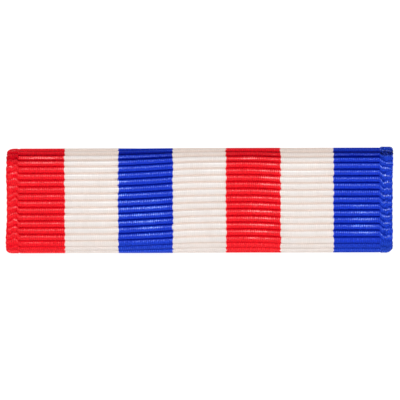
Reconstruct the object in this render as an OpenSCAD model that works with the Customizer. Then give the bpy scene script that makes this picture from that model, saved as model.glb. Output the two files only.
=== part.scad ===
// Service ribbon bar: one woven, ribbed ribbon wrapped round a folded brass carrier.
// The bar lies on its back. X runs across the stripes, Y from the lower fold to the upper one
// and Z out of the front. The origin is at the middle of the face that it rests on.

/* [Ribbon] */
// Width across the stripes
ribbon_w = 34.925; // [20:0.005:60]
// Height of the bar from the lower fold to the upper one
bar_h = 9.525; // [8:0.005:16]
// Thickness of the cloth at the top of its ribs
cloth_t = 0.5; // [0.4:0.01:0.7]
// Distance from one rib to the next
rib_pitch = 0.606; // [0.5:0.002:0.9]
// Depth of the grooves between the ribs
rib_relief = 0.14; // [0.05:0.01:0.2]
// Height of the bow that the ribs make across the bar
bow_lift = 0.43; // [0:0.01:0.6]
// Width of the selvedge along each side
selvedge_w = 1.1; // [0.8:0.05:2]
// Rounding of the cloth along its side edges
edge_round = 0.25; // [0.05:0.01:0.3]
// Length of cloth tucked in behind each lip
tuck_l = 0.6; // [0.2:0.05:0.9]

/* [Carrier] */
// Thickness of the brass sheet
sheet_t = 0.3; // [0.2:0.01:0.5]
// Clear radius inside the folds of the sheet
fold_r = 0.68; // [0.6:0.01:1.2]
// Flat length of each lip, from its fold to the middle of its rounded edge
lip_l = 0.68; // [0.4:0.01:1.2]
// How far the sheet stops short of the side edges of the cloth
side_inset = 0.25; // [0.05:0.05:2]

/* [Fit] */
// Clearance between the sheet and the cloth wrapped round it
fit_gap = 0.02; // [0.01:0.01:0.08]

/* [Hidden] */
$fn = 64;

// Folds at the top and bottom of the bar, and turns of the cloth round the edges of the lips
bend_r = fold_r + sheet_t + fit_gap + cloth_t;
turn_r = sheet_t / 2 + fit_gap + cloth_t;
bar_t = 2 * bend_r;
fold_y = bar_h / 2 - bend_r;
lip_y = fold_y - lip_l;
lip_z = turn_r;

// Lengths along the outer face of the cloth, from the middle of the front to one cut end
fold_end = fold_y + PI * bend_r;
lip_end = fold_end + lip_l;
turn_end = lip_end + PI * turn_r;
half_l = turn_end + tuck_l;

// Ribs: shares of the pitch from one groove to the next at which the outer face has a line
rib_steps = [0, 0.18, 0.5, 0.82];
rib_r = (rib_relief * rib_relief + rib_pitch * rib_pitch / 4) / (2 * rib_relief);
whole_ribs = floor(half_l / rib_pitch - 0.2);

// Rounded side edges: share of edge_round in from the side, share of it taken off the cloth
edge_drop = min(edge_round, (cloth_t - rib_relief) / 2);
edge_steps = [
    // in    off
    [0,      1],
    [0.29,   0.29],
    [1,      0]
];

// Ribs step down into the selvedge: share of selvedge_w in from the side, share of the pitch
selvedge_steps = [
    // in    down
    [0.62,   0.42],
    [1,      0]
];
selvedge_drop = 0.5;

// Bow of the ribs: share of the width from the left side, share of bow_lift
bow_steps = [
    // across  up
    [0,        0],
    [0.25,     0.02],
    [0.33,     0.18],
    [0.40,     0.54],
    [0.47,     0.82],
    [0.60,     1],
    [0.68,     0.89],
    [0.74,     0.6],
    [0.82,     0.62],
    [1,        0.63]
];

// Lengthwise lines of the loft, each with x, the lift of its ribs and what its edge loses
left_lines = [
    for (e = edge_steps) [e[0] * edge_round, -selvedge_drop * rib_pitch, e[1] * edge_drop],
    for (e = selvedge_steps) [e[0] * selvedge_w, -e[1] * rib_pitch, 0]
];
middle_lines = [
    for (i = [1 : len(bow_steps) - 2]) [bow_steps[i][0] * ribbon_w, 0, 0]
];
right_lines = [
    for (i = [len(left_lines) - 1 : -1 : 0])
        [ribbon_w - left_lines[i][0], left_lines[i][1], left_lines[i][2]]
];
lines = [
    for (l = concat(left_lines, middle_lines, right_lines))
        [l[0] - ribbon_w / 2, l[1] + bow_lift * bow_at(l[0] / ribbon_w), l[2]]
];

// Share of bow_lift at a share of the width
function bow_at(across) = lookup(across, bow_steps);

// Angle from +Z of the way that the cloth faces, at length s from the middle of the front
function facing(s) =
    s < fold_y ? 0
    : s < fold_end ? (s - fold_y) / bend_r * 180 / PI
    : s < lip_end ? 180
    : s < turn_end ? 180 + (s - lip_end) / turn_r * 180 / PI
    : 360;

function outward(angle) = [sin(angle), cos(angle)];

// Point of the outer face at length s, as [y, z]
function on_path(s) =
    s < fold_y ? [s, bar_t]
    : s < fold_end ? [fold_y, bend_r] + bend_r * outward(facing(s))
    : s < lip_end ? [fold_y - (s - fold_end), 0]
    : s < turn_end ? [lip_y, lip_z] + turn_r * outward(facing(s))
    : [lip_y + (s - turn_end), lip_z + turn_r];

// Point at length s, above or below the middle of the front, and depth under the outer face
function under_face(s, depth) =
    let (p = on_path(abs(s)) - depth * outward(facing(abs(s))))
    s < 0 ? [-p[0], p[1]] : p;

// The lift of the ribs dies out along the back, so that both cut ends are straight
function lifted(s, lift) =
    s + lift * min(1, (half_l - abs(s)) / (half_l - fold_end));

// Depth of the rounded rib at a share of the pitch
function rib_depth(share) =
    rib_r - sqrt(rib_r * rib_r - pow((share - 0.5) * rib_pitch, 2));

// Lines across the loft, each with its length from the middle of the front and its depth
rows = concat(
    [[-half_l, rib_relief]],
    [
        for (k = [-whole_ribs : whole_ribs - 1], share = rib_steps)
            [(k + share) * rib_pitch, rib_depth(share)]
    ],
    [[whole_ribs * rib_pitch, rib_relief], [half_l, rib_relief]]
);

row_count = len(rows);
line_count = len(lines);
side_lines = [lines[0], lines[line_count - 1]];

function loft_point(line, row, depth) =
    let (p = under_face(lifted(row[0], line[1]), depth))
    [line[0], p[0], p[1]];

outer_points = [for (line = lines, row = rows) loft_point(line, row, row[1] + line[2])];
inner_points = [for (line = side_lines, row = rows) loft_point(line, row, cloth_t)];

function outer(i, j) = i * row_count + j;
function inner(i, j) = (line_count + i) * row_count + j;

outer_faces = [
    for (i = [0 : line_count - 2], j = [0 : row_count - 2], half = [0, 1])
        half == 0
            ? [outer(i, j), outer(i, j + 1), outer(i + 1, j + 1)]
            : [outer(i, j), outer(i + 1, j + 1), outer(i + 1, j)]
];
inner_faces = [
    for (j = [0 : row_count - 2], half = [0, 1])
        half == 0
            ? [inner(0, j), inner(1, j), inner(1, j + 1)]
            : [inner(0, j), inner(1, j + 1), inner(0, j + 1)]
];
left_faces = [
    for (j = [0 : row_count - 2])
        [outer(0, j), inner(0, j), inner(0, j + 1), outer(0, j + 1)]
];
right_faces = [
    for (j = [0 : row_count - 2], last = line_count - 1)
        [outer(last, j), outer(last, j + 1), inner(1, j + 1), inner(1, j)]
];
lower_cut = concat([for (i = [0 : line_count - 1]) outer(i, 0)], [inner(1, 0), inner(0, 0)]);
upper_cut = concat(
    [inner(0, row_count - 1), inner(1, row_count - 1)],
    [for (i = [line_count - 1 : -1 : 0]) outer(i, row_count - 1)]
);

// The woven ribbon, from one cut end behind a lip to the other
module ribbon() {
    color("crimson")
        polyhedron(
            points = concat(outer_points, inner_points),
            faces = concat(
                outer_faces, inner_faces, left_faces, right_faces, [lower_cut, upper_cut]
            ),
            convexity = 12
        );
}

// Section of the upper half of the folded sheet, as [y, z]
module sheet_half() {
    fold_out = fold_r + sheet_t;
    translate([0, bend_r + fold_r]) square([fold_y, sheet_t]);
    translate([fold_y, bend_r])
        intersection() {
            difference() {
                circle(r = fold_out);
                circle(r = fold_r);
            }
            translate([0, -fold_out]) square([fold_out, 2 * fold_out]);
        }
    translate([lip_y, lip_z - sheet_t / 2]) square([lip_l, sheet_t]);
    translate([lip_y, lip_z]) circle(d = sheet_t);
}

// The folded sheet that carries the ribbon and slides onto a mounting bar
module carrier() {
    sheet_w = ribbon_w - 2 * side_inset;
    color("goldenrod")
        rotate([90, 0, 90])
            translate([0, 0, -sheet_w / 2])
                linear_extrude(sheet_w) {
                    sheet_half();
                    mirror([1, 0]) sheet_half();
                }
}

ribbon();
carrier();
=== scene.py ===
import math

import bpy
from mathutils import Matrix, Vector


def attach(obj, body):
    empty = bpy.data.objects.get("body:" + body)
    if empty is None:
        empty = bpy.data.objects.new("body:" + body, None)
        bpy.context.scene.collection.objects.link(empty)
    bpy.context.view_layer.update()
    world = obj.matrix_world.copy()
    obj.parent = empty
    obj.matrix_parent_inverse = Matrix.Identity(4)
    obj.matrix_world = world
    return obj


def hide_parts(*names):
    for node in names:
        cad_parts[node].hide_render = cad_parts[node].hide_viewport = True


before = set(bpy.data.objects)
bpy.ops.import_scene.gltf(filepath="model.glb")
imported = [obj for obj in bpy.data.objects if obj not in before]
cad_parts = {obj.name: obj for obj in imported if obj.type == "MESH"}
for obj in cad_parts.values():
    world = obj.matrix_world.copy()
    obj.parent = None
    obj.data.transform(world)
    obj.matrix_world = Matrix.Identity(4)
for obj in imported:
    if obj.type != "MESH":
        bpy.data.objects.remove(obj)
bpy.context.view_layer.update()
print("frame loaded with", ", ".join(sorted(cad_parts)))

mmPerMetre = 1000
ribsBelow = 100  # added to a rib's number, so that it is never under 0
white = (1.0, 1.0, 1.0, 1.0)


# A socket in a node tree, so that sums between sockets can be written as plain expressions
class Signal:
    def __init__(self, board, socket):
        self.board = board
        self.socket = socket

    def __add__(self, other):
        return self.board.sum("ADD", self, other)

    def __sub__(self, other):
        return self.board.sum("SUBTRACT", self, other)

    def __rsub__(self, other):
        return self.board.sum("SUBTRACT", other, self)

    def __mul__(self, other):
        return self.board.sum("MULTIPLY", self, other)

    def __truediv__(self, other):
        return self.board.sum("DIVIDE", self, other)

    def __rtruediv__(self, other):
        return self.board.sum("DIVIDE", other, self)

    def __pow__(self, other):
        return self.board.sum("POWER", self, other)

    def __neg__(self):
        return self.board.sum("MULTIPLY", self, -1.0)

    def __abs__(self):
        return self.board.sum("ABSOLUTE", self)

    def __gt__(self, other):
        return self.board.sum("GREATER_THAN", self, other)

    def __lt__(self, other):
        return self.board.sum("LESS_THAN", self, other)

    __radd__ = __add__
    __rmul__ = __mul__


# The tree that nodes are added to, for shaders and for Geometry Nodes alike
class Board:
    def __init__(self, tree):
        self.tree = tree

    def feed(self, value, socket):
        if isinstance(value, Signal):
            value = value.socket
        if isinstance(value, bpy.types.NodeSocket):
            self.tree.links.new(value, socket)
        else:
            socket.default_value = value

    def add(self, kind, settings=None, inputs=None):
        node = self.tree.nodes.new(kind)
        for name, value in (settings or {}).items():
            if name == "points":
                curve = node.mapping.curves[0]
                while len(curve.points) < len(value):
                    curve.points.new(1.0, 1.0)
                for point, (place, height) in zip(curve.points, value):
                    point.location = (place, height)
                    point.handle_type = "VECTOR"
                node.mapping.extend = "HORIZONTAL"
                node.mapping.update()
            else:
                setattr(node, name, value)
        for name, value in (inputs or {}).items():
            self.feed(value, node.inputs[name])
        return node

    def take(self, kind, settings=None, inputs=None, output=0):
        return Signal(self, self.add(kind, settings, inputs).outputs[output])

    def sum(self, operation, *terms):
        return self.take("ShaderNodeMath", {"operation": operation}, dict(enumerate(terms)))

    def sine(self, angle):
        return self.sum("SINE", angle)

    def cosine(self, angle):
        return self.sum("COSINE", angle)

    def least(self, one, other):
        return self.sum("MINIMUM", one, other)

    def most(self, one, other):
        return self.sum("MAXIMUM", one, other)

    def between(self, value, low, high):
        return self.least(self.most(value, low), high)

    def ease(self, value, low, high):
        # 0 at low, 1 at high, and a smooth step between them, whichever of the two is larger
        return self.take(
            "ShaderNodeMapRange",
            {"interpolation_type": "SMOOTHSTEP"},
            {"Value": value, "From Min": low, "From Max": high},
        )

    def curve(self, value, points):
        return self.take("ShaderNodeFloatCurve", {"points": points}, {"Value": value})

    def mixed(self, factor, low, high):
        # a colour, low where the factor is 0 and high where it is 1
        return self.take(
            "ShaderNodeMix", {"data_type": "RGBA"}, {"Factor": factor, 6: low, 7: high}, output=2
        )

    def vector(self, x, y, z=0.0):
        return self.take("ShaderNodeCombineXYZ", None, {"X": x, "Y": y, "Z": z})

    def noise(self, place, scale=1.0, detail=2.0, roughness=0.5):
        # centred on 0, about -0.5 to 0.5
        return self.take(
            "ShaderNodeTexNoise",
            {"noise_dimensions": "3D"},
            {"Vector": place, "Scale": scale, "Detail": detail, "Roughness": roughness},
        ) - 0.5

    def bump(self, height, strength, distance):
        return self.add(
            "ShaderNodeBump",
            None,
            {"Height": height, "Strength": strength, "Distance": distance},
        ).outputs["Normal"]

    def surface(self, inputs):
        shader = self.add("ShaderNodeBsdfPrincipled", None, inputs)
        self.add("ShaderNodeOutputMaterial", None, {"Surface": shader.outputs["BSDF"]})


# low where the share is 0, high where it is 1
def blend(share, low, high):
    return low + share * (high - low)


def newMaterial(name):
    material = bpy.data.materials.new(name)
    material.use_nodes = True
    material.node_tree.nodes.clear()
    return material, Board(material.node_tree)


def newObject(name, data):
    made = bpy.data.objects.new(name, data)
    bpy.context.collection.objects.link(made)
    return made


# Ribbon, in millimetres. It is wrapped round the carrier: front, fold, lip, turn, tuck.
ribbonShape = {
    # each size is an input of the tree
    "sizes": {
        "width": 34.925,
        "height": 9.525,
        "clothThickness": 0.5,
        "bendRadius": 1.5,  # outside of the folds at the top and bottom
        "lipLength": 0.68,
        "turnRadius": 0.67,  # outside of the turn round each lip
        "tuckLength": 0.6,
        "edgeRound": 0.25,  # radius of the two side edges
        "ribPitch": 0.606,
        "ribDepth": 0.295,
        "ribFullness": 0.97,  # nearer 1 makes the grooves steeper
        "ribFlatness": 2.8,  # higher makes the tops of the ribs flatter
        "leastFlatness": 1.1,
        "topOpening": 0.9,  # how much less flat the ribs are over the top fold
        "bottomPressing": 0.5,  # share of their depth that they lose over the bottom one
        "bowLift": 0.454,  # how far the ribs bow upwards across the front
        "placeShift": 0.2,
        "ribWander": 0.03,
        "ribUnevenness": 0.4,
        "unevenDepth": 0.02,
        "selvedgeReach": 1.6,  # how far in from a side its curves go
        "selvedgeStart": 1.05,  # distances in from a side
        "selvedgeFull": 0.8,
        "selvedgeWander": 0.48,
        "selvedgeUnevenness": 1.5,  # how many times as much again the ribs are uneven there
        "selvedgeCresting": 1.2,  # how much less flat the tops of the ribs are there
        "selvedgeDepth": 1.25,  # depth of its grooves where its curve says 1
        "creasePlace": 1.1,  # the line where each selvedge begins
        "creaseHalfWidth": 0.14,
        "creaseDepth": 0.04,
        "proudStart": 1.2,  # the right selvedge stands proud at both folds
        "proudFull": 1.02,
        "topProud": 0.085,
        "bottomProud": 0.04,
        "cornerReach": 0.6,  # the cloth draws in at the corners of the front
        "topLeftDraw": 0.2,
        "bottomLeftDraw": 0.16,
        "topRightDraw": 0.0,
        "bottomRightDraw": 0.33,
        "leftScallop": 0.035,
        "rightScallop": 0.03,
        "swayReach": 1.1,
        "sideSway": 0.12,
        "innerStart": 1.0,  # further in than this the inner face stops following the ribs
        "innerLength": 1.2,
        "seed": 7.0,
    },
    # noise: millimetres across for one patch, patches along for each rib, detail
    "patches": {"wander": (4, 0.8, 2.0), "selvedge": (0.5, 0.6, 1.0), "uneven": (7, 3.7, 2.0)},
    # lines of the mesh round the cloth, and rows of it along the cloth
    "mesh": {"outer": 144, "edge": 6, "inner": 24, "rowsPerRib": 14, "ribsEachWay": 18.78},
    "mergeGap": 0.000002,  # metres
    "curveSpan": 10,  # length of the curves that run along the cloth, about its middle
    # height of the bow: share of the width from the left, share of bowLift
    "bow": [
        (0.0, 0.0), (0.24, 0.008), (0.263, 0.026), (0.284, 0.074), (0.304, 0.139), (0.325, 0.201),
        (0.346, 0.283), (0.367, 0.365), (0.387, 0.45), (0.408, 0.544), (0.429, 0.659),
        (0.449, 0.769), (0.47, 0.843), (0.491, 0.886), (0.512, 0.92), (0.553, 0.964),
        (0.594, 0.99), (0.615, 1.0), (0.636, 0.996), (0.657, 0.94), (0.677, 0.87), (0.698, 0.775),
        (0.719, 0.657), (0.739, 0.614), (0.76, 0.614), (0.781, 0.624), (0.802, 0.649),
        (0.822, 0.675), (1.0, 0.675),
    ],
    # the ribs are not quite evenly apart: share of curveSpan from its lower end, and how far
    # the rib there has moved, from 0 for half of placeShift down to 1 for half of it up
    "ribPlaces": [
        (0.0, 0.4), (0.082, 0.115), (0.142, 0.4), (0.197, 0.5), (0.26, 0.445), (0.323, 0.455),
        (0.378, 0.5), (0.44, 0.535), (0.504, 0.62), (0.567, 0.675), (0.63, 0.77), (0.694, 0.775),
        (0.748, 0.77), (0.811, 0.815), (0.866, 0.71), (0.916, 0.61), (1.0, 0.5),
    ],
    # ribs in the selvedges: share of selvedgeReach in from the side, pitches up or down
    "leftRise": [
        (0.0, 0.21), (0.12, 0.2), (0.175, 0.2), (0.232, 0.225), (0.288, 0.284), (0.345, 0.356),
        (0.401, 0.43), (0.45, 0.475), (0.5, 0.5), (0.55, 0.49), (0.6, 0.44), (0.63, 0.3),
        (0.655, 0.1), (0.68, 0.03), (0.75, 0.01), (0.9, 0.0), (1.0, 0.0),
    ],
    "rightDrop": [
        (0.0, 0.63), (0.119, 0.63), (0.175, 0.63), (0.288, 0.61), (0.401, 0.58), (0.514, 0.565),
        (0.571, 0.54), (0.61, 0.49), (0.65, 0.35), (0.69, 0.15), (0.72, 0.03), (0.8, 0.0),
        (1.0, 0.0),
    ],
    # depth of the grooves in the selvedges, at the same places
    "leftRelief": [
        (0.0, 0.28), (0.3, 0.3), (0.5, 0.32), (0.55, 0.5), (0.58, 0.62), (0.61, 0.32),
        (0.655, 0.32), (0.675, 0.6), (0.69, 0.8), (1.0, 0.8),
    ],
    "rightRelief": [
        (0.0, 0.32), (0.3, 0.34), (0.5, 0.36), (0.58, 0.3), (0.64, 0.2), (0.7, 0.22), (0.73, 0.6),
        (0.745, 0.84), (1.0, 0.8),
    ],
    # how far each side bulges outwards: share of curveSpan from its lower end, share of sideSway
    "leftSway": [
        (0.0, 0.9), (0.062, 0.95), (0.108, 0.9), (0.18, 0.75), (0.252, 0.4), (0.325, 0.05),
        (0.433, 0.0), (0.542, 0.05), (0.614, 0.15), (0.687, 0.5), (0.723, 0.52), (0.759, 0.5),
        (0.795, 0.0), (0.832, 0.24), (0.868, 0.28), (0.909, 0.2), (0.957, 0.0), (1.0, 0.0),
    ],
    "rightSway": [
        (0.0, 0.5), (0.062, 0.5), (0.108, 0.3), (0.15, 0.1), (0.216, 0.4), (0.252, 0.1),
        (0.325, 0.15), (0.433, 0.12), (0.505, 0.08), (0.542, 0.44), (0.614, 0.2), (0.65, 0.3),
        (0.687, 0.15), (0.723, 0.4), (0.759, 0.28), (0.795, 0.58), (0.832, 0.72), (0.868, 0.72),
        (0.909, 0.73), (0.957, 0.95), (1.0, 0.95),
    ],
    # the white yarn is fuller and fills its grooves: share of the width, share of the depth
    "stripeRelief": [
        (0.0, 1.0), (0.148, 1.0), (0.156, 0.58), (0.283, 0.58), (0.291, 1.0), (0.426, 1.0),
        (0.434, 0.58), (0.563, 0.58), (0.571, 1.0), (0.706, 1.0), (0.714, 0.58), (0.843, 0.58),
        (0.851, 1.0), (1.0, 1.0),
    ],
    # where the mesh has its lines across the ribbon: share of the lines, share of the width
    "columns": [
        (0.0, 0.0), (0.25, 0.0436), (0.75, 0.9564), (1.0, 1.0),
    ],
    # map for baking: outer face and side edges in one sheet, the inner face in a strip below it
    "map": {
        "margin": 0.005, "edgeWidth": 0.02, "faceWidth": 0.95, "stripHeight": 0.14,
        "sheetStart": 0.155, "sheetHeight": 0.84,
    },
}


def wrapTree(shape, cloth):
    tree = bpy.data.node_groups.new("Ribbed ribbon wrap", "GeometryNodeTree")
    tree.interface.new_socket(
        name="Geometry", in_out="OUTPUT", socket_type="NodeSocketGeometry"
    )
    for name in shape["sizes"]:
        tree.interface.new_socket(name=name, in_out="INPUT", socket_type="NodeSocketFloat")
    board = Board(tree)
    given = board.add("NodeGroupInput")
    size = {name: Signal(board, given.outputs[name]) for name in shape["sizes"]}
    width, pitch = size["width"], size["ribPitch"]
    bend, turn, edge = size["bendRadius"], size["turnRadius"], size["edgeRound"]

    # lengths along the outer face, from the middle of the front
    foldStart = size["height"] / 2 - bend
    foldEnd = foldStart + bend * math.pi
    lipEnd = foldEnd + size["lipLength"]
    turnEnd = lipEnd + turn * math.pi
    halfLength = turnEnd + size["tuckLength"]

    mesh = shape["mesh"]
    outer, side, inner, perRib = mesh["outer"], mesh["edge"], mesh["inner"], mesh["rowsPerRib"]
    halfRows = math.ceil(mesh["ribsEachWay"] * perRib)
    rows = 2 * halfRows + 3  # one more row at each end closes the cut end
    grid = board.add(
        "GeometryNodeMeshGrid",
        None,
        {"Vertices X": outer + 2 * side + inner + 1, "Vertices Y": rows},
    )

    def onDomain(domain, value):
        return board.take(
            "GeometryNodeFieldOnDomain", {"domain": domain, "data_type": "FLOAT"}, {0: value}
        )

    index = onDomain("POINT", board.take("GeometryNodeInputIndex"))
    column = board.sum("FLOOR", index / rows)
    row = index - column * rows

    # round the cloth: outer face, right edge, inner face, left edge
    outerShare = board.between(column / outer, 0, 1)
    rightTurn = board.between((column - outer) / side, 0, 1)
    innerShare = board.between((column - (outer + side)) / inner, 0, 1)
    leftTurn = board.between((column - (outer + side + inner)) / side, 0, 1)
    theta = (rightTurn - leftTurn) * math.pi
    isInner = theta > 3.1  # it is pi all over the inner face
    isCap = board.sum("COMPARE", abs(row - (halfRows + 1)), halfRows + 1.0, 0.5)

    # the outer face meets the inner one line for line at the cut ends
    lineShare = outerShare - innerShare
    snapped = board.sum("ROUND", lineShare * inner) / inner
    lineShare = lineShare + (snapped - lineShare) * isCap
    flatShare = board.curve(lineShare, shape["columns"])
    across = edge + flatShare * (width - edge * 2)
    outwards = board.sine(theta) * (1 - 2 * (leftTurn > 0))
    x = across - width / 2 + outwards * edge
    fromLeft = x + width / 2
    fromRight = width / 2 - x
    fromSide = board.least(fromLeft, fromRight)
    onRight = x > 0

    # along the cloth, row by row
    step = board.between(row - (halfRows + 1), -halfRows, halfRows)
    ribNumber = step / perRib
    length = board.between(ribNumber * pitch, -halfLength, halfLength)
    share = board.sum("FRACT", ribNumber + ribsBelow)
    offCrest = abs(share * 2 - 1)
    spanShare = length / shape["curveSpan"] + 0.5

    def noise(name, ribs, seed):
        patchWidth, eachRib, detail = shape["patches"][name]
        place = board.vector(across / patchWidth, ribs * eachRib, seed)
        return board.noise(place, detail=detail)

    # where each rib runs: bow, selvedges, noise and the uneven spacing
    inSelvedge = board.ease(fromSide, size["selvedgeStart"], size["selvedgeFull"])
    wander = noise("wander", ribNumber, size["seed"]) * size["ribWander"]
    selvedgeNoise = noise("selvedge", ribNumber, size["seed"] + 9)
    wander = wander + selvedgeNoise * inSelvedge * size["selvedgeWander"]
    bow = board.curve(fromLeft / width, shape["bow"]) * size["bowLift"]
    rise = board.curve(fromLeft / size["selvedgeReach"], shape["leftRise"])
    drop = board.curve(fromRight / size["selvedgeReach"], shape["rightDrop"])
    shift = (board.curve(spanShare, shape["ribPlaces"]) - 0.5) * size["placeShift"]
    lift = bow + (rise - drop) * pitch + wander + shift
    furtherIn = board.between((fromSide - size["innerStart"]) / size["innerLength"], 0, 1)
    lift = lift * (1 - isInner * furtherIn)
    fade = board.least((halfLength - abs(length)) / (halfLength - foldEnd), 1.0)
    placed = length + lift * fade

    # the rounded ribs, which open over the top fold and are pressed flat over the bottom one
    top = placed > 0
    fromMiddle = abs(placed)
    foldAngle = board.between((fromMiddle - foldStart) / bend, 0, math.pi)
    overFold = board.sine(foldAngle)
    flatness = size["ribFlatness"] - top * overFold * size["topOpening"]
    flatness = flatness - inSelvedge * size["selvedgeCresting"]
    flatness = board.most(flatness, size["leastFlatness"])
    full = size["ribFullness"]
    hollow = (1 - (1 - full * offCrest ** flatness) ** 0.5) / (1 - (1 - full) ** 0.5)
    uneven = noise("uneven", board.sum("FLOOR", ribNumber), size["seed"] + 5)
    relief = board.least(
        board.curve(fromLeft / size["selvedgeReach"], shape["leftRelief"]),
        board.curve(fromRight / size["selvedgeReach"], shape["rightRelief"]),
    ) * size["selvedgeDepth"]
    relief = relief * board.curve(fromLeft / width, shape["stripeRelief"])
    relief = relief * (1 - overFold * (1 - top) * size["bottomPressing"])
    more = 1 + inSelvedge * size["selvedgeUnevenness"]
    hollow = hollow * relief * (1 + uneven * size["ribUnevenness"] * more)
    crease = 1 - abs(fromSide - size["creasePlace"]) / size["creaseHalfWidth"]
    outerDepth = (
        size["ribDepth"] * hollow
        + board.most(crease, 0.0) * size["creaseDepth"]
        + abs(uneven) * size["unevenDepth"]
    )

    # corners of the front, and the right selvedge that stands proud at both folds
    leftDraw = blend(top, size["bottomLeftDraw"], size["topLeftDraw"])
    rightDraw = blend(top, size["bottomRightDraw"], size["topRightDraw"])
    draw = blend(onRight, leftDraw, rightDraw)
    nearSide = board.between(1 - fromSide / size["cornerReach"], 0, 1)
    atEdge = board.ease(fromSide, size["proudStart"], size["proudFull"])
    proud = onRight * overFold * atEdge * blend(top, size["bottomProud"], size["topProud"])
    outerDepth = outerDepth + draw * nearSide ** 2 * overFold - proud

    thickness = size["clothThickness"]
    middle = (outerDepth + thickness) / 2
    half = (thickness - outerDepth) / 2
    depth = middle - half * board.cosine(theta) * (1 - isCap)

    # the side edges sway along the ribbon and are scalloped by the ribs
    scallop = blend(onRight, size["leftScallop"], size["rightScallop"])
    inGroove = (board.cosine(share * math.tau) + 1) / 2
    nearEdge = board.between(1 - fromSide / size["swayReach"], 0, 1)
    leftBulge = board.curve(spanShare, shape["leftSway"])
    rightBulge = board.curve(spanShare, shape["rightSway"])
    bulge = blend(onRight, leftBulge, rightBulge) * size["sideSway"]
    x = x + (onRight * 2 - 1) * (bulge * nearEdge - scallop * inGroove * nearEdge ** 2)

    # wrapped round the carrier
    lipAngle = board.between((fromMiddle - lipEnd) / turn, 0, math.pi)
    facing = foldAngle + lipAngle
    y = (
        board.least(fromMiddle, foldStart)
        + bend * board.sine(foldAngle)
        - board.between(fromMiddle - foldEnd, 0, size["lipLength"])
        - turn * board.sine(lipAngle)
        + board.most(fromMiddle - turnEnd, 0.0)
        - depth * board.sine(facing)
    )
    z = (
        bend * 2
        + bend * (board.cosine(foldAngle) - 1)
        + turn * (1 - board.cosine(lipAngle))
        - depth * board.cosine(facing)
    )
    inMetres = 1 / mmPerMetre
    place = board.vector(x * inMetres, y * (top * 2 - 1) * inMetres, z * inMetres)
    shaped = board.take(
        "GeometryNodeSetPosition", None, {"Geometry": grid.outputs["Mesh"], "Position": place}
    )

    # what the material reads: millimetres across, number of the rib, share of a rib's depth
    marked = board.take(
        "GeometryNodeStoreNamedAttribute",
        {"data_type": "FLOAT_VECTOR", "domain": "POINT"},
        {"Geometry": shaped, "Name": "weave", "Value": board.vector(across, ribNumber, hollow)},
    )

    sheet = shape["map"]
    edgeWidth, faceWidth = sheet["edgeWidth"], sheet["faceWidth"]
    middleColumn = onDomain("FACE", column)
    faceInner = (middleColumn > outer + side) * (middleColumn < outer + side + inner)
    faceLeft = middleColumn > outer + side + inner
    mapU = (
        sheet["margin"]
        + edgeWidth
        + outerShare * faceWidth
        + rightTurn * edgeWidth * (1 - faceInner)
        - innerShare * faceWidth * faceInner
        - faceLeft
        * (outerShare * faceWidth + rightTurn * edgeWidth + (1 - leftTurn) * edgeWidth)
    )
    rowShare = row / (rows - 1)
    mapV = faceInner * (sheet["margin"] + rowShare * sheet["stripHeight"])
    mapV = mapV + (1 - faceInner) * (sheet["sheetStart"] + rowShare * sheet["sheetHeight"])
    mapped = board.take(
        "GeometryNodeStoreNamedAttribute",
        {"data_type": "FLOAT2", "domain": "CORNER"},
        {"Geometry": marked, "Name": "OFBake", "Value": board.vector(mapU, mapV)},
    )

    closed = board.take(
        "GeometryNodeMergeByDistance", None, {"Geometry": mapped, "Distance": shape["mergeGap"]}
    )
    smooth = board.take("GeometryNodeSetShadeSmooth", None, {"Geometry": closed})
    real = board.take("GeometryNodeRealizeInstances", None, {"Geometry": smooth})
    dressed = board.take(
        "GeometryNodeSetMaterial", None, {"Geometry": real, "Material": cloth}
    )
    result = board.add("NodeGroupOutput")
    board.feed(dressed, result.inputs["Geometry"])
    return tree


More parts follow.
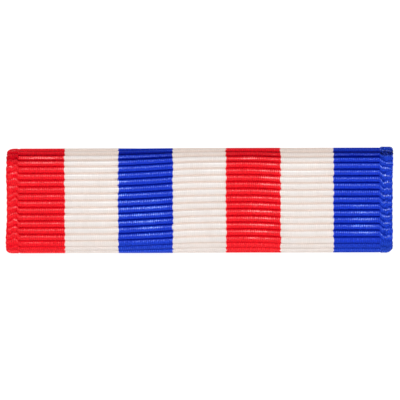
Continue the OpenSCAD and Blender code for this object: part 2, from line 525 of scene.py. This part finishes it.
# Ribbon's finish, with painted shade and painted highlights mixed into the dyes. Colours are
# linear, lengths in millimetres, heights up from the middle.
ribbonFinish = {
    "red": (0.82, 0.012, 0.02, 1.0),
    # the Deep colours are the dyes darkened, mixed in as painted shade in the grooves and over
    # the folds
    "redDeep": (0.73, 0.0005, 0.01, 1.0),
    # the PaintedHighlight colours are paler dyes, mixed in as a painted highlight where the yarn
    # shines
    "redPaintedHighlight": (0.83, 0.03, 0.034, 1.0),
    "white": (0.755, 0.71, 0.69, 1.0),
    "whiteDeep": (0.775, 0.648, 0.58, 1.0),
    "blue": (0.01, 0.038, 0.545, 1.0),
    "blueDeep": (0.0005, 0.0085, 0.31, 1.0),
    "bluePaintedHighlight": (0.022, 0.12, 0.8, 1.0),
    "whiteStripes": [(5.269, 10.106), (15.046, 19.858), (24.805, 29.579)],
    "borderWiggle": 0.028,
    "borderJitter": 0.08,
    "borderSoftness": 0.07,
    "yarnPitch": 0.187,
    "yarnHeight": 0.014,
    "yarnLevel": 0.8,  # share of yarnHeight that a middling yarn has
    "yarnDrift": 1.4,
    "roughness": 0.6,
    "cloudRoughness": 0.1,
    "specular": 0.04,
    "shine": 0.19,  # of the silky yarn on the tops of the ribs
    "spotShine": 0.54,  # added in the shine spots
    "shineRoughness": 0.34,
    "shineIor": 1.8,
    # spots where the yarn shines more, with more gloss and a stronger painted highlight: place
    # across, height, half sizes
    "shineSpots": [
        (12.7, -1.4, 1.9, 2.2), (10.2, 0.1, 1.2, 3.4), (24.0, 1.9, 1.2, 2.0),
        (22.9, -1.7, 1.7, 2.4), (32.3, -2.0, 1.3, 1.8), (3.4, 3.7, 1.8, 0.4),
        (22.0, 3.83, 1.1, 0.3), (8.6, -0.5, 1.3, 1.4), (7.4, 2.7, 2.6, 1.1),
        (27.2, 2.4, 2.4, 1.5), (18.6, 2.6, 1.2, 1.6),
    ],
    # where each zone is 0 and where it is 1
    "zones": {
        "selvedge": (1.16, 1.04),  # in from a side
        "wedge": (0.6, 0.95),
        "onLeft": (7, 3),  # across
        "nearTop": (3.3, 3.6),  # heights
        "turning": (3.62, 3.85),
        "overTop": (3.87, 4.34),
        "crest": (4.36, 4.22),
        "overBottom": (-3.5, -4.1),
        "rim": (4.38, 4.56),  # the very turn of both folds
        "flank": (0.2, 0.7),  # shares of a rib, from its middle to a groove
        "lowerSide": (0.62, 0.15),  # share of a rib, from the groove below it
        "spot": (1.25, 0.35),  # share of a smooth spot's half size
        "onRib": (0.65, 0.05),  # shares of the depth of a groove
        "inGroove": (0.15, 0.65),
        "paintedShade": (0.06, 0.66),
        "softDeep": (-0.1, 0.4),
        "speckle": (0.05, 0.2),
    },
    # noise: patches to a millimetre across, patches to a rib, detail
    "patches": {
        "drift": (1 / 1.5, 0.9, 2.0),
        "patchy": (1.2, 2.3, 2.0),
        "cloud": (0.5, 0.35, 3.0),
        "worn": (0.9, 0.8, 2.0),
        "grain": (1.8, 3.2, 2.0),
        "fuzz": (6, 5, 1.0),
    },
    # how much each zone and each noise adds or takes away
    "topHeight": {"selvedge": 0.55, "right": 0.5},
    "spots": {"fill": 0.75, "patchy": 2.2, "white": 0.5},
    "contrast": {
        "plain": 0.65, "worn": 2.6, "inShineSpot": 0.1, "least": 0.2, "most": 1.2, "white": 0.7,
    },
    "glint": {"round": 1.8, "flat": 0.1, "tone": 1.1, "dull": 0.63},
    "band": {
        "place": 0.67, "turned": 0.24, "tone": 0.14, "worn": 0.3,
        "reach": 0.26, "selvedge": 0.07, "inShineSpot": 0.12, "full": 0.04,
    },
    "shineBy": {
        "white": 1.9, "cloud": 1.2, "selvedge": 0.15, "right": 0.55, "patchy": 1.6, "grain": 4,
        "speckle": 0.12, "fuzz": 3, "fuzzWhite": 2.6, "crest": 0.3, "crestWhite": 0.4,
        "bottom": 0.5, "bottomLastBlue": 0.3,
        "top": 0.9, "topSelvedge": 0.4, "topRightRim": 0.6,
    },
    "pressed": {"start": 0.2, "end": 0.4},
    # strength of the painted shade in each place
    "paintedShadeBy": {
        "wedge": 1.6, "tone": 0.28, "worn": 0.25, "grain": 2.1, "grainRight": 0.5,
        "top": 0.55, "topSelvedge": 0.2, "flank": 0.5, "bottomLeft": 0.45,
    },
    "softPaintedShadeBy": {"worn": 0.25, "lowerSide": 0.09, "pressing": 0.7, "top": 0.5, "bottom": 0.3},
    # strength of the painted highlight and the painted light in each place
    "paintedLightBy": {
        "shine": 1.1, "bottomBlue": 0.1, "rightEdge": 0.15, "rim": 0.12, "rimLeft": 0.15,
    },
    # random tone of yarns and patches, with painted shade and painted light by place
    "toneAndPaintedShadeBy": {
        "tone": 0.16, "round": 0.26, "roundMiddle": 0.6, "cloud": 0.08,
        "top": 0.17, "topSelvedge": 0.05, "topRight": 0.28, "topWhite": 0.11,
        "bottomBlue": 0.14, "bottomLastBlue": 0.06, "bottomRed": 0.03,
        "rim": 0.1, "flank": 0.1, "flankWhite": 0.06, "rightEdge": 0.11,
        "fuzz": 0.7, "fuzzRight": 0.7, "fuzzTop": 0.45, "fuzzWhite": 0.6,
        "nearTop": 0.36, "nearTopWhite": 0.17,
    },
}


def clothMaterial(finish, width):
    cloth, board = newMaterial("Ribbed ribbon")
    spot = board.add("ShaderNodeTexCoord")
    apart = board.add("ShaderNodeSeparateXYZ", None, {"Vector": spot.outputs["Object"]})
    across = Signal(board, apart.outputs["X"]) * mmPerMetre + width / 2
    up = Signal(board, apart.outputs["Y"]) * mmPerMetre
    weave = board.add("ShaderNodeAttribute", {"attribute_name": "weave"})
    parts = board.add("ShaderNodeSeparateXYZ", None, {"Vector": weave.outputs["Vector"]})
    rib = Signal(board, parts.outputs["Y"]) + ribsBelow
    hollow = Signal(board, parts.outputs["Z"])  # 0 on the ribs, about 1 in the grooves
    ribIndex = board.sum("FLOOR", rib)
    ribShare = board.sum("FRACT", rib)  # 0 in the groove below a rib, 1 in the one above it

    def zone(name, place):
        return board.ease(place, *finish["zones"][name])

    def patches(name, ribs):
        toMm, toRib, detail = finish["patches"][name]
        return board.noise(board.vector(across * toMm, ribs * toRib), detail=detail)

    fromSide = board.least(across, width - across)
    selvedge = zone("selvedge", fromSide)
    onRight = across > width / 2
    onLeft = zone("onLeft", across)
    rightEdge = selvedge * onRight
    by = finish["topHeight"]
    overTop = zone("overTop", up + selvedge * (by["selvedge"] - onRight * by["right"]))
    nearTop = zone("nearTop", up)
    turning = zone("turning", up)
    flank = turning * zone("flank", abs(ribShare * 2 - 1))
    overBottom = zone("overBottom", up)
    rim = zone("rim", abs(up))

    # yarns run up and down, and lie half a yarn over on every other rib
    odd = board.sum("FRACT", ribIndex / 2) * 2
    drift = patches("drift", rib) * finish["yarnDrift"]
    yarn = across / finish["yarnPitch"] + odd * 0.5 + drift
    yarnNumber = board.sum("FLOOR", yarn)
    yarnRound = abs(board.sine(yarn * math.pi))
    tone = board.take(
        "ShaderNodeTexWhiteNoise",
        {"noise_dimensions": "2D"},
        {"Vector": board.vector(yarnNumber, ribIndex)},
    ) - 0.5

    # stripes: white where the distance inside a white one is positive
    inside = None
    for start, end in finish["whiteStripes"]:
        depth = (end - start) / 2 - abs(across - (start + end) / 2)
        inside = depth if inside is None else board.most(inside, depth)
    wiggle = tone * finish["borderJitter"] - board.cosine(rib * math.tau) * finish["borderWiggle"]
    whiteness = board.between((inside + wiggle) / finish["borderSoftness"] + 0.5, 0, 1)
    middles = [(start + end) / 2 for start, end in finish["whiteStripes"]]
    isBlue = (across > middles[0]) - (across > middles[1]) + (across > middles[2])
    lastBlue = onRight * isBlue

    # shine spots, broken up from rib to rib
    inShineSpot = None
    for place, height, halfWidth, halfHeight in finish["shineSpots"]:
        off = (((across - place) / halfWidth) ** 2 + ((up - height) / halfHeight) ** 2) ** 0.5
        spotShare = zone("spot", off)
        inShineSpot = spotShare if inShineSpot is None else board.most(inShineSpot, spotShare)
    by = finish["spots"]
    patchy = patches("patchy", ribIndex)
    kept = board.between(by["fill"] + patchy * by["patchy"], 0, 1)
    inShineSpot = inShineSpot * kept * (1 - whiteness * by["white"])

    # how strongly single yarns stand out
    cloud = patches("cloud", rib)
    worn = patches("worn", rib)
    grain = patches("grain", rib) * selvedge
    fuzz = patches("fuzz", rib)
    by = finish["contrast"]
    strength = by["plain"] + worn * by["worn"] + inShineSpot * by["inShineSpot"]
    strength = (1 - whiteness * by["white"]) * board.between(strength, by["least"], by["most"])
    by = finish["glint"]
    glint = yarnRound ** 2 * by["round"] + by["flat"]
    glint = glint * ((tone + 0.5) ** 2 * by["tone"] + by["dull"])
    ticks = 1 + (glint - 1) * strength

    # the yarns shine in a band a little above the middle of each rib
    by = finish["band"]
    turned = turning * (1 - selvedge)
    fromBand = ribShare - by["place"] + turned * by["turned"]
    fromBand = abs(fromBand - tone * by["tone"] - worn * by["worn"])
    reach = by["reach"] - selvedge * by["selvedge"] + inShineSpot * by["inShineSpot"]
    band = board.ease(fromBand, reach, by["full"])
    by = finish["shineBy"]
    shine = finish["shine"] * (1 + whiteness * by["white"]) + inShineSpot * finish["spotShine"]
    shine = shine * band * ticks * (1 + cloud * by["cloud"]) * zone("onRib", hollow)
    atSelvedge = onRight * by["right"] + by["selvedge"] + patchy * by["patchy"]
    shine = shine * (1 + selvedge * atSelvedge + grain * by["grain"])
    shine = shine + rightEdge * overTop * zone("speckle", fuzz + grain) * by["speckle"]
    shine = shine * (1 + fuzz * (by["fuzz"] + rightEdge - whiteness * by["fuzzWhite"]))
    crestLine = turned * zone("crest", up)
    shine = shine * (1 + crestLine * (by["crest"] - whiteness * by["crestWhite"]))

    # less so over both folds, where the last blue stripe is pressed smooth sooner
    rimRight = rim * rightEdge
    sooner, fullSooner = finish["pressed"]["start"], finish["pressed"]["end"]
    begins, full = finish["zones"]["overBottom"]
    pressed = board.ease(up - lastBlue * sooner, begins, full + lastBlue * fullSooner)
    shine = shine * (1 - pressed * (by["bottom"] + lastBlue * by["bottomLastBlue"]))
    dimmed = by["top"] - selvedge * by["topSelvedge"] - rimRight * by["topRightRim"]
    shine = board.between(shine * (1 - overTop * dimmed), 0, 1)

    # painted shade: the dye is darkened in the grooves (made ragged by noise), over the top fold,
    # on the rib flanks where that fold turns and at the lower left of the bottom fold; in the
    # white it is darkened more gently, and also on the lower side of each rib and over both folds
    by = finish["paintedShadeBy"]
    wedge = rightEdge * zone("wedge", fromSide)  # where the ribs meet the right selvedge
    ragged = hollow * (1 + wedge * by["wedge"]) + tone * strength * by["tone"]
    ragged = ragged + worn * by["worn"] + grain * (by["grain"] + onRight * by["grainRight"])
    lowLeft = overBottom * (1 - rim) * onLeft
    paintedShade = zone("paintedShade", ragged) + overTop * (by["top"] + selvedge * by["topSelvedge"])
    paintedShade = paintedShade + flank * by["flank"] + lowLeft * by["bottomLeft"]
    paintedShade = board.between(paintedShade, 0, 1)
    by = finish["softPaintedShadeBy"]
    softHollow = hollow * (1 - overBottom * by["pressing"]) + worn * by["worn"]
    softHollow = softHollow + zone("lowerSide", ribShare) * by["lowerSide"]
    softDeep = zone("softDeep", softHollow) + overTop * by["top"] + overBottom * by["bottom"]
    softDeep = board.between(softDeep, 0, 1)
    dyes = {
        name: board.mixed(share, finish[name], finish[name + "Deep"])
        for name, share in (("red", paintedShade), ("white", softDeep), ("blue", paintedShade))
    }
    dyed = board.mixed(isBlue, dyes["red"], dyes["blue"])
    paintedHighlight = board.mixed(isBlue, finish["redPaintedHighlight"], finish["bluePaintedHighlight"])
    by = finish["paintedLightBy"]
    paintedLightAndPaleness = overBottom * isBlue * by["bottomBlue"] + rightEdge * by["rightEdge"]
    paintedLightAndPaleness = paintedLightAndPaleness + rim * (by["rim"] + onLeft * by["rimLeft"])
    # painted highlight: the dye is mixed towards a paler copy where the yarn shines; painted
    # light pales the blue over the bottom fold and the very turn of both folds, more so at the
    # left, and the right selvedge is paler too
    dyed = board.mixed(shine * by["shine"] + paintedLightAndPaleness, dyed, paintedHighlight)
    striped = board.mixed(whiteness, dyed, dyes["white"])

    # each yarn takes the dye a little differently, least of all in the white; painted shade
    # darkens the sides of each yarn, the top fold, the blue over the bottom fold and the rib
    # flanks and grooves near the top, painted light brightens the very turn of both folds and the
    # red over the bottom fold, and the right selvedge is darker
    by = finish["toneAndPaintedShadeBy"]
    single = tone * by["tone"] + (yarnRound - by["roundMiddle"]) * by["round"]
    toneAndPaintedShade = 1 + single * strength + cloud * by["cloud"]
    atTop = by["top"] + selvedge * (by["topSelvedge"] + onRight * by["topRight"])
    toneAndPaintedShade = toneAndPaintedShade - overTop * (atTop - whiteness * by["topWhite"])
    toneAndPaintedShade = toneAndPaintedShade + overTop * rimRight * by["topRight"]
    atBottom = isBlue * by["bottomBlue"] + lastBlue * by["bottomLastBlue"] - by["bottomRed"]
    toneAndPaintedShade = toneAndPaintedShade - overBottom * atBottom * (1 - whiteness)
    toneAndPaintedShade = toneAndPaintedShade + rim * (by["rim"] - whiteness * overTop * by["rim"])
    onFlank = flank * (1 - rim) * (1 - selvedge)
    toneAndPaintedShade = toneAndPaintedShade - onFlank * (by["flank"] - whiteness * by["flankWhite"])
    toneAndPaintedShade = toneAndPaintedShade - rightEdge * by["rightEdge"]
    inSelvedge = onRight * by["fuzzRight"] + overTop * by["fuzzTop"]
    toneAndPaintedShade = toneAndPaintedShade + fuzz * (by["fuzz"] + selvedge * inSelvedge - whiteness * by["fuzzWhite"])
    inGroove = nearTop * zone("inGroove", hollow)
    toneAndPaintedShade = toneAndPaintedShade - inGroove * (by["nearTop"] - whiteness * by["nearTopWhite"])
    tonedAndShaded = board.add(
        "ShaderNodeVectorMath",
        {"operation": "SCALE"},
        {"Vector": striped, "Scale": toneAndPaintedShade},
    )
    level = finish["yarnLevel"]
    yarnTop = yarnRound * (level + tone * (1 - level) * 2)
    board.surface({
        "Base Color": tonedAndShaded.outputs[0],
        "Roughness": finish["roughness"] + cloud * finish["cloudRoughness"],
        "Specular IOR Level": finish["specular"],
        "Coat Weight": shine,
        "Coat Roughness": finish["shineRoughness"],
        "Coat IOR": finish["shineIor"],
        "Normal": board.bump(yarnTop, 1.0, finish["yarnHeight"] / mmPerMetre),
    })
    return cloth


print("weaving the ribbon")
tree = wrapTree(ribbonShape, clothMaterial(ribbonFinish, ribbonShape["sizes"]["width"]))
ribbon = newObject("wovenRibbon", bpy.data.meshes.new("wovenRibbon"))
wrap = ribbon.modifiers.new("wrap", "NODES")
wrap.node_group = tree
for item in tree.interface.items_tree:
    if item.in_out == "INPUT":
        wrap[item.identifier] = ribbonShape["sizes"][item.name]
woven = ribbon.evaluated_get(bpy.context.evaluated_depsgraph_get())
wovenMesh = bpy.data.meshes.new_from_object(woven)
ribbon.modifiers.clear()
ribbon.data = wovenMesh
print("ribbon has", len(wovenMesh.polygons), "faces")

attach(ribbon, "root")
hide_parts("ribbon")

# Carrier: thin rolled brass, brushed along its length, in metres
brassFinish = {
    "clean": (0.80, 0.60, 0.28, 1.0),
    "tarnished": (0.52, 0.36, 0.16, 1.0),
    "tarnish": 0.5,
    "blotches": 350.0,  # to a metre
    "dulled": (-0.05, 0.25),  # strength of a blotch where it is clean and where it is dull
    "dullRoughness": 0.15,
    "roughness": 0.3,
    "brushing": 0.12,
    "brushes": (120, 6000, 6000),  # to a metre along each axis
    "brushStrength": 0.35,
    "brushHeight": 0.00001,
}


def brassMaterial(finish):
    brass, board = newMaterial("Rolled brass")
    spot = board.add("ShaderNodeTexCoord")
    brushPlace = board.add(
        "ShaderNodeMapping", None, {"Vector": spot.outputs["Object"], "Scale": finish["brushes"]}
    )
    brush = board.noise(brushPlace.outputs[0], detail=3.0)
    blotch = board.noise(spot.outputs["Object"], finish["blotches"], 4.0, 0.6)
    dulled = board.ease(blotch, *finish["dulled"])
    rubbing = brush * finish["brushing"] + dulled * finish["dullRoughness"]
    board.surface({
        "Base Color": board.mixed(
            dulled * finish["tarnish"], finish["clean"], finish["tarnished"]
        ),
        "Metallic": 1.0,
        "Roughness": finish["roughness"] + rubbing,
        "Normal": board.bump(brush, finish["brushStrength"], finish["brushHeight"]),
    })
    return brass


print("finishing the carrier")
brassLook = brassMaterial(brassFinish)
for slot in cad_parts["carrier"].material_slots:
    slot.material = brassLook

# White paper that the bar lies on, in metres
floorSetup = {
    "side": 1.6,
    "colour": (0.25, 0.25, 0.25, 1.0),
    "glow": 0.86,
    "roughness": 0.9,
    "specular": 0.1,
}


def makeFloor(setup):
    half = setup["side"] / 2
    mesh = bpy.data.meshes.new("floor")
    corners = [(-half, -half, 0), (half, -half, 0), (half, half, 0), (-half, half, 0)]
    mesh.from_pydata(corners, [], [(0, 1, 2, 3)])
    floor = newObject("floor", mesh)
    paper, board = newMaterial("White paper")
    board.surface({
        "Base Color": setup["colour"],
        "Roughness": setup["roughness"],
        "Specular IOR Level": setup["specular"],
        "Emission Color": white,
        "Emission Strength": setup["glow"],
    })
    mesh.materials.append(paper)


print("setting the stage")
makeFloor(floorSetup)

# Lights, in metres and watts, inside a light tent
lightSetup = {
    # the tent is darker beyond the bar's top than below the bar
    "skyBeyond": 0.12,
    "skyBelow": 0.42,
    "skyChange": (0.7, -0.4),  # how far towards the bar's top it is darkest and lightest
    "distance": 0.7,
    # tilt is degrees from straight up, heading is degrees clockwise from the bar's top
    "boxes": {
        "key": {"heading": 0, "tilt": 25, "size": (0.24, 0.1), "power": 2.6},
        "leftBox": {"heading": -90, "tilt": 56, "size": (0.35, 0.4), "power": 1.4},
        "rightBox": {"heading": 90, "tilt": 56, "size": (0.35, 0.4), "power": 1.4},
        "lowFill": {"heading": 180, "tilt": 76, "size": (0.6, 0.16), "power": 1.3},
    },
    "unseenInShine": ["lowFill"],
}


def makeLights(setup):
    world = bpy.data.worlds.new("Light tent")
    bpy.context.scene.world = world
    world.use_nodes = True
    world.node_tree.nodes.clear()
    board = Board(world.node_tree)
    way = board.add("ShaderNodeTexCoord")
    parts = board.add("ShaderNodeSeparateXYZ", None, {"Vector": way.outputs["Generated"]})
    below = board.ease(Signal(board, parts.outputs["Y"]), *setup["skyChange"])
    strength = blend(below, setup["skyBeyond"], setup["skyBelow"])
    sky = board.add("ShaderNodeBackground", None, {"Color": white, "Strength": strength})
    board.add("ShaderNodeOutputWorld", None, {"Surface": sky.outputs[0]})
    for name, box in setup["boxes"].items():
        light = bpy.data.lights.new(name, "AREA")
        light.shape = "RECTANGLE"
        light.size, light.size_y = box["size"]
        light.energy = box["power"]
        lamp = newObject(name, light)
        tilt, heading = math.radians(box["tilt"]), math.radians(box["heading"])
        towards = Vector((
            math.sin(tilt) * math.sin(heading),
            math.sin(tilt) * math.cos(heading),
            math.cos(tilt),
        ))
        lamp.location = towards * setup["distance"]
        lamp.rotation_euler = towards.to_track_quat("Z", "Y").to_euler()
        lamp.visible_camera = False
        lamp.visible_glossy = name not in setup["unseenInShine"]
    bpy.context.scene.view_settings.view_transform = "Standard"


makeLights(lightSetup)

# Straight down on the front, through a long lens: metres, the turn in degrees
cameraSetup = {
    "frameWidth": 0.03617,
    "distance": 0.4,
    "over": (0.000045, 0.000041, 0.003),
    "turn": -0.16,
    "sensor": 36,  # millimetres
    "clip": (0.01, 10),
}


def makeCamera(setup):
    lens = bpy.data.cameras.new("camera")
    lens.sensor_width = setup["sensor"]
    lens.lens = setup["sensor"] * setup["distance"] / setup["frameWidth"]
    lens.clip_start, lens.clip_end = setup["clip"]
    camera = newObject("camera", lens)
    x, y, front = setup["over"]
    camera.location = (x, y, front + setup["distance"])
    camera.rotation_euler = (0, 0, math.radians(setup["turn"]))
    bpy.context.scene.camera = camera


makeCamera(cameraSetup)

print("ready")
